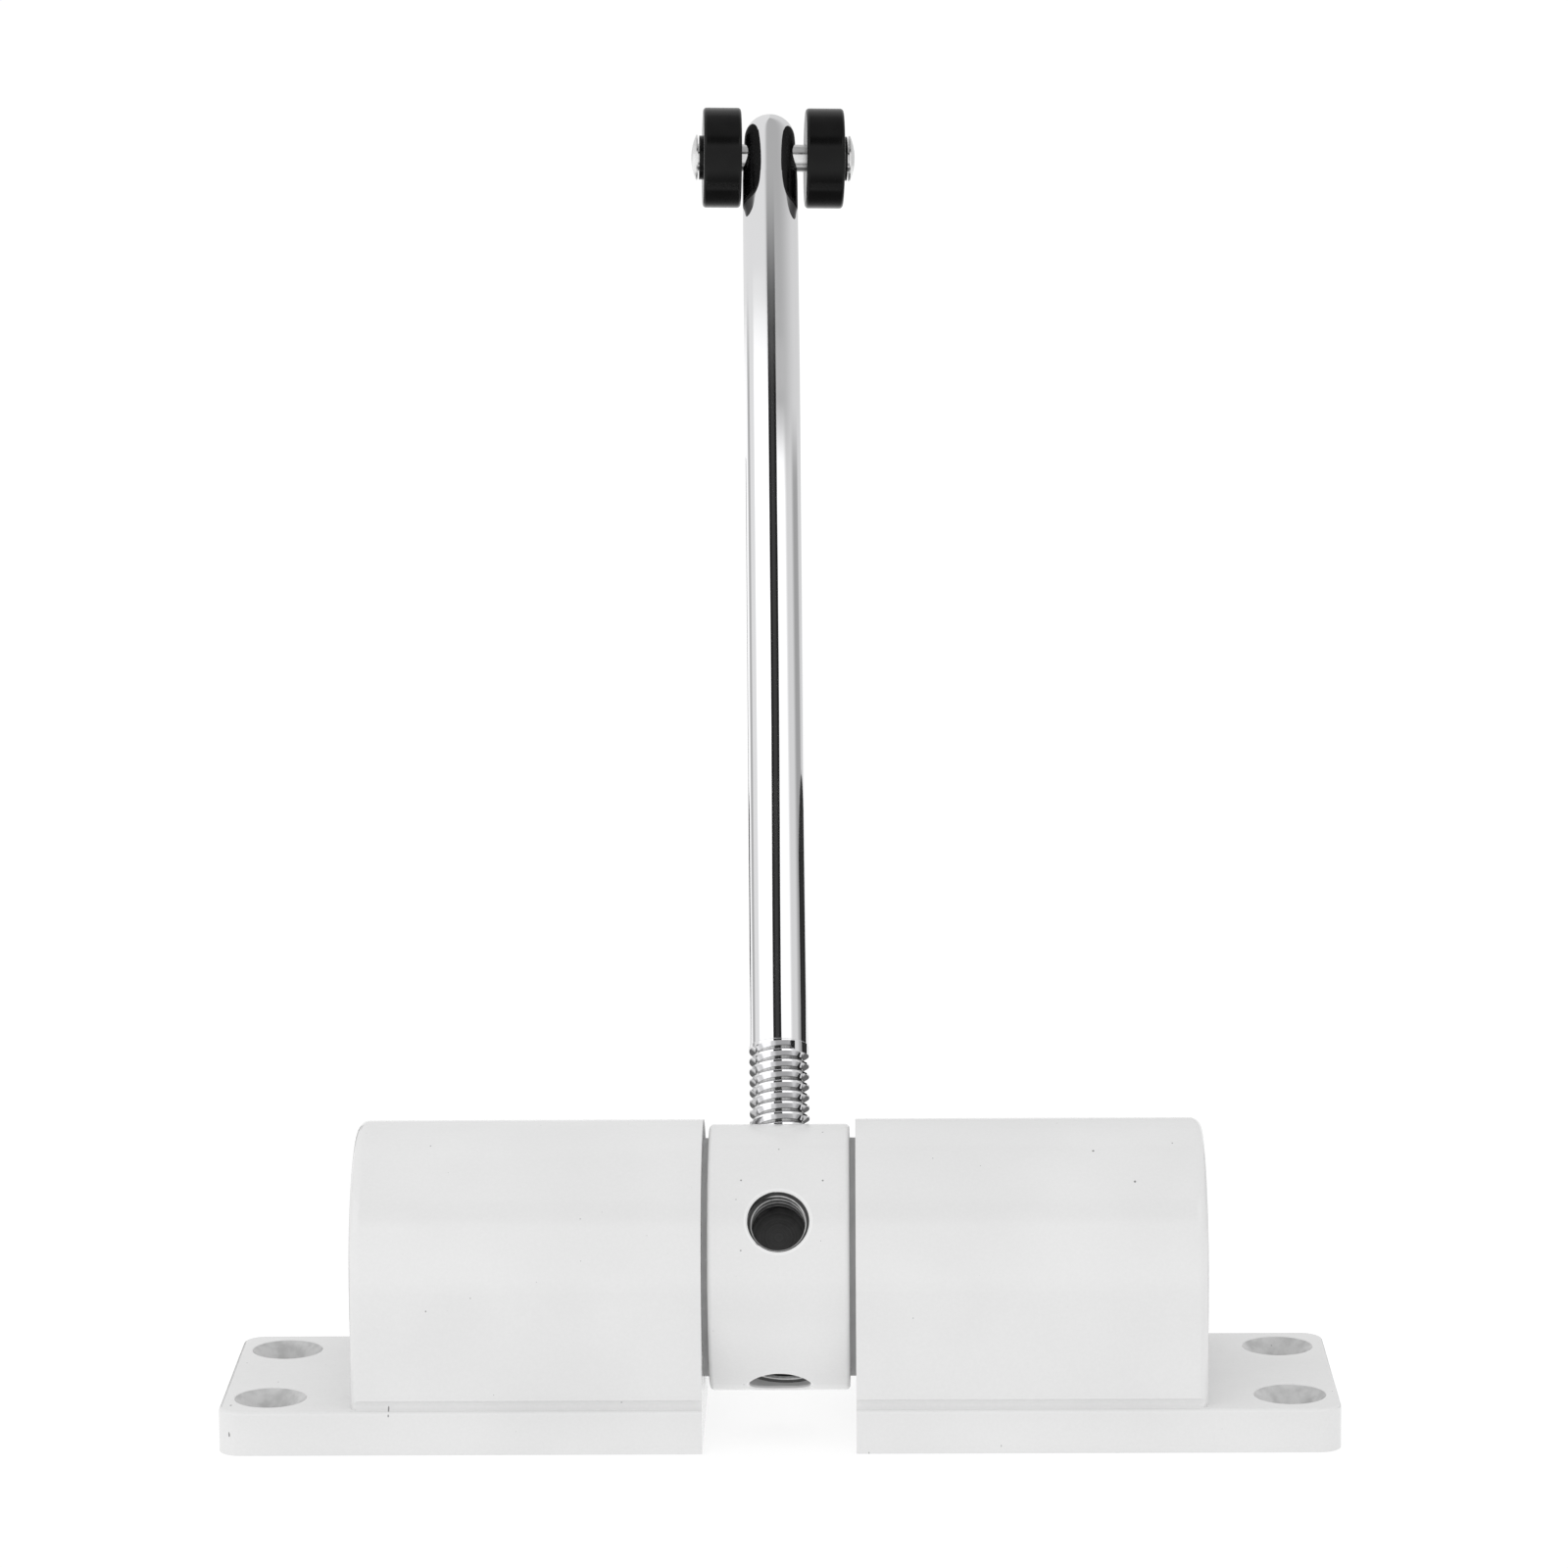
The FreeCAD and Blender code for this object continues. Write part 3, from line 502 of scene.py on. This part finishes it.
def socket_thread(name, axis, metal):
    """A helical ridge with its ends run out into the wall, riding on the hub."""
    side = HUB_AXIS
    up = axis.cross(side).normalized()
    turns = (RIDGE_END - RIDGE_START) / THREAD_PITCH
    count = int(turns * RIDGE_STEPS) + 1
    work = bmesh.new()
    rows = []
    for number in range(count):
        turn = number / RIDGE_STEPS
        fade = min(1.0, turn / RIDGE_FADE, (turns - turn) / RIDGE_FADE)
        crest = RIDGE_BASE + (RIDGE_CREST - RIDGE_BASE) * max(fade, 0.02)
        angle = (RIDGE_END_TURN + turn - turns) * math.tau
        out = side * math.cos(angle) + up * math.sin(angle)
        middle = RIDGE_START + turn * THREAD_PITCH
        profile = (
            (RIDGE_BASE, -RIDGE_HALF_BASE),
            (crest, -RIDGE_HALF_CREST),
            (crest, RIDGE_HALF_CREST),
            (RIDGE_BASE, RIDGE_HALF_BASE),
        )
        rows.append([
            work.verts.new(HUB_CENTRE + out * radius + axis * (middle + shift))
            for radius, shift in profile
        ])
    for first, second in zip(rows, rows[1:]):
        for number in range(4):
            following = (number + 1) % 4
            work.faces.new((first[number], first[following], second[following], second[number]))
    work.faces.new(rows[0])
    work.faces.new(list(reversed(rows[-1])))
    bmesh.ops.recalc_face_normals(work, faces=work.faces)
    thing = add_object(name, mesh_from(name, work), metal)
    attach(thing, "hub_and_rod")


# ---------------------------------------------------------------- studio

CAMERA_TARGET = Vector((1.0, 0.0, 87.3)) * MM
CAMERA_DISTANCE = 790.0 * MM
CAMERA_ELEVATION = 9.95
CAMERA_AZIMUTH = 0.755
CAMERA_ROLL = -0.41
CAMERA_LENS = 135.4
FLOOR_RADIUS = 12.0
FLOOR_DROP = 0.00005         # under the mounting plane
KEY_PLACE = Vector((-0.42, -0.42, 0.24))
KEY_AIM = Vector((-0.03, 0.0, 0.03))
KEY_SIZE = 0.5
KEY_ENERGY = 0.3
SHADE_CENTRE = Vector((0.0, 0.05, -0.00002))
SHADE_INNER = 0.06
SHADE_OUTER = 0.30
SHADE_GAP_INNER = 0.022      # half widths of the light strip in the shade, under the closer
SHADE_GAP_OUTER = 0.05
TENT_RADIUS = 1.3
TENT_CENTRE = Vector((0.0, 0.05, 0.11))


def make_camera():
    """The camera at the viewing angle of the reference view."""
    data = bpy.data.cameras.new("studio_camera")
    data.lens = CAMERA_LENS
    data.sensor_width = 36.0
    data.clip_start, data.clip_end = 0.05, 50.0
    camera = bpy.data.objects.new("studio_camera", data)
    bpy.context.scene.collection.objects.link(camera)
    high, round_ = math.radians(CAMERA_ELEVATION), math.radians(CAMERA_AZIMUTH)
    back = Vector((
        math.sin(round_) * math.cos(high), -math.cos(round_) * math.cos(high), math.sin(high)
    ))
    right = Vector((0, 0, 1)).cross(back).normalized()
    up = back.cross(right)
    roll = math.radians(CAMERA_ROLL)
    right, up = (
        right * math.cos(roll) + up * math.sin(roll),
        up * math.cos(roll) - right * math.sin(roll),
    )
    turned = Matrix((right, up, back)).transposed().to_4x4()
    camera.matrix_world = Matrix.Translation(CAMERA_TARGET + back * CAMERA_DISTANCE) @ turned
    bpy.context.scene.camera = camera


def make_world():
    """Even white light from all sides."""
    world = bpy.data.worlds.new("studio_world")
    world.use_nodes = True
    ground = world.node_tree.nodes["Background"]
    ground.inputs["Color"].default_value = (1.0, 1.0, 1.0, 1.0)
    ground.inputs["Strength"].default_value = 1.0
    bpy.context.scene.world = world
    bpy.context.scene.view_settings.view_transform = "Standard"
    bpy.context.scene.view_settings.look = "None"


def make_floor():
    """A wide white disc, lit a little from within so that it stays pale to its edge."""
    work = bmesh.new()
    bmesh.ops.create_circle(work, cap_ends=True, segments=96, radius=FLOOR_RADIUS)
    bmesh.ops.translate(work, verts=work.verts, vec=(0, 0, -FLOOR_DROP))
    finish = Finish("studio_floor_white")
    level = finish.ramp(finish.noise(3.0, 2.0), 0.3, 0.7, 0.24, 0.26)
    finish.set(Base_Color=finish.grey(level), Roughness=0.9, Specular_IOR_Level=0.0)
    finish.set(Emission_Color=(1.0, 1.0, 1.0), Emission_Strength=0.79)
    floor = add_object("studio_floor", mesh_from("studio_floor", work), finish.material)


def make_key_light():
    """A broad soft lamp at the left, just strong enough to make the left half the lighter one."""
    data = bpy.data.lights.new("key_left", "AREA")
    data.shape = "RECTANGLE"
    data.size, data.size_y = KEY_SIZE, KEY_SIZE
    data.energy = KEY_ENERGY
    lamp = bpy.data.objects.new("key_left", data)
    bpy.context.scene.collection.objects.link(lamp)
    turned = (KEY_AIM - KEY_PLACE).to_track_quat("-Z", "Y").to_matrix().to_4x4()
    lamp.matrix_world = Matrix.Translation(KEY_PLACE) @ turned
    lamp.visible_camera = False
    lamp.visible_glossy = False


def only_reflected(thing):
    """Keep a stage piece out of sight and out of the light; it shows in reflections alone."""
    for ray in ("camera", "diffuse", "transmission", "volume_scatter", "shadow"):
        setattr(thing, "visible_" + ray, False)
    for slot in thing.material_slots:
        slot.material.cycles.emission_sampling = "NONE"


def glowing(name):
    """A black finish that only glows; feed its Emission_Color."""
    finish = Finish(name)
    finish.set(Base_Color=(0.0, 0.0, 0.0), Roughness=1.0, Specular_IOR_Level=0.0)
    finish.set(Emission_Strength=1.0)
    return finish


def card(name, corners, level):
    """A flat flag, its corners in millimetres."""
    mesh = bpy.data.meshes.new(name)
    mesh.from_pydata([Vector(corner) * MM for corner in corners], [], [(0, 1, 2, 3)])
    finish = glowing(name)
    shade = finish.ramp(finish.noise(25.0, 2.0), 0.3, 0.7, level * 0.8, level * 1.2)
    finish.set(Emission_Color=finish.grey(shade))
    only_reflected(add_object(name, mesh, finish.material))


def make_flags():
    """Dark flags low behind the rod, out to the sides: they blacken the edges of its lower half."""
    card("flag_right", ((478, 171, 0), (290, 430, 0), (290, 430, 44), (478, 171, 192)), 0.03)
    card("flag_left_low", ((-215, 300, 0), (-142, 344, 0), (-142, 344, 37), (-215, 300, 54)), 0.03)
    card("flag_left_high", ((-170, 330, 30), (-140, 345, 20), (-140, 345, 102), (-170, 330, 110)), 0.2)


def make_floor_shade():
    """A dark disc on the floor, seen only in reflections: painted shade round the closer, for the chrome to
    mirror from other sides.
    """
    work = bmesh.new()
    bmesh.ops.create_circle(work, cap_ends=True, segments=96, radius=SHADE_OUTER)
    bmesh.ops.translate(work, verts=work.verts, vec=SHADE_CENTRE)
    finish = glowing("floor_shade")
    distance = finish.vector("DISTANCE", finish.place, SHADE_CENTRE, output="Value")
    level = finish.ramp(distance, SHADE_INNER, SHADE_OUTER, 0.14, 1.04)
    split = finish.node("SeparateXYZ", Vector=finish.place)
    off_axis = finish.math("ABSOLUTE", split.outputs["Y"])
    strip = finish.ramp(off_axis, SHADE_GAP_INNER, SHADE_GAP_OUTER, 0.95, 0.0)
    finish.set(Emission_Color=finish.grey(finish.math("MAXIMUM", level, strip)))
    shade = add_object("floor_shade", mesh_from("floor_shade", work), finish.material)
    only_reflected(shade)


def tent_low(finish, turn, climb):
    """Softboxes left and right of the front, with pale grey walls outside them."""
    to_right = finish.ramp(turn, -3.0, 3.0)
    left_half = finish.math("LESS_THAN", turn, 0.0)
    right_half = finish.math("SUBTRACT", 1.0, left_half)
    lifted = finish.ramp(climb, -0.1, 0.2)
    box_left = finish.math("MULTIPLY", lifted, finish.ramp(turn, -86.0, -76.0))
    box_right = finish.math("MULTIPLY", lifted, finish.ramp(turn, 42.0, 60.0, 1.0, 0.0))
    boxes = finish.math("MULTIPLY", box_left, left_half)
    boxes = finish.math("ADD", boxes, finish.math("MULTIPLY", box_right, right_half))
    wall_left = finish.ramp(turn, -128.0, -122.0, 1.1, 0.46)
    wall_left = finish.math("ADD", wall_left, finish.ramp(turn, -112.0, -104.0, 0.0, 0.36))
    wall_right = finish.ramp(turn, 76.0, 96.0, 0.74, 0.38)
    wall_right = finish.math("ADD", wall_right, finish.ramp(turn, 112.0, 128.0, 0.0, 0.34))
    walls = finish.mix(to_right, finish.grey(wall_left), finish.grey(wall_right))
    walls = finish.mix(lifted, (0.98, 0.98, 0.98), walls)
    return finish.mix(boxes, walls, (1.32, 1.32, 1.32))


def tent_roof(finish, turn):
    """A grey roof, lighter towards the left, that starts over the softboxes."""
    roof_right = finish.ramp(turn, 30.0, 110.0, 0.46, 0.72)
    roof_side = finish.ramp(turn, -27.0, -9.0)
    return finish.mix(roof_side, (0.81, 0.81, 0.81), finish.grey(roof_right))


def with_batten(finish, turn, climb, glow):
    """The glow with a dark batten straight over the front, fading into the roof."""
    lean = finish.math("ADD", turn, finish.ramp(climb, 0.26, 0.36, 5.0, 0.0))
    off_middle = finish.math("ABSOLUTE", lean)
    batten = finish.ramp(off_middle, 14.5, 18.0, 1.0, 0.0)
    fade = finish.ramp(climb, 0.430, 0.476, 1.0, 0.0)
    dark = finish.math("MULTIPLY", batten, fade)
    dark = finish.math("MULTIPLY", dark, finish.ramp(climb, 0.05, 0.24))
    core = finish.ramp(off_middle, 4.0, 11.0, 0.05, 0.015)
    return finish.mix(dark, glow, finish.grey(core))


def make_tent():
    """The light tent that the chrome mirrors.

    Its glow is laid out by two measures of a direction from the tent's centre: the turn about
    the rod in degrees, 0 to the front and positive to the right, and the climb along the rod.
    """
    work = bmesh.new()
    bmesh.ops.create_icosphere(work, subdivisions=5, radius=TENT_RADIUS)
    bmesh.ops.translate(work, verts=work.verts, vec=TENT_CENTRE)
    finish = glowing("studio_tent")
    offset = finish.scaled(finish.vector("SUBTRACT", finish.place, TENT_CENTRE), 1.0 / TENT_RADIUS)
    climb = finish.vector("DOT_PRODUCT", offset, ROD_AXIS, output="Value")
    side = finish.vector("DOT_PRODUCT", offset, ROD_SIDE, output="Value")
    face = finish.vector("DOT_PRODUCT", offset, ROD_FACE, output="Value")
    turn = finish.math("MULTIPLY", finish.math("ARCTAN2", side, face), 180.0 / math.pi)
    roof_start = finish.ramp(turn, -12.0, 12.0, 0.422, 0.398)
    in_roof = finish.ramp(finish.math("SUBTRACT", climb, roof_start), 0.0, 0.022)
    glow = finish.mix(in_roof, tent_low(finish, turn, climb), tent_roof(finish, turn))
    finish.set(Emission_Color=with_batten(finish, turn, climb, glow))
    tent = add_object("studio_tent", mesh_from("studio_tent", work), finish.material)
    only_reflected(tent)


# ---------------------------------------------------------------- the scene

make_camera()
make_world()
make_floor()
make_key_light()
make_flags()
make_floor_shade()
make_tent()
ridge_metal = tapped_metal()
dress_nodes()
for name, mount in mounts.items():
    if mount["kind"] == "threaded_hole":
        out = Vector(mount["axis"]).normalized()
        socket_thread(name.replace("socket", "thread"), out, ridge_metal)
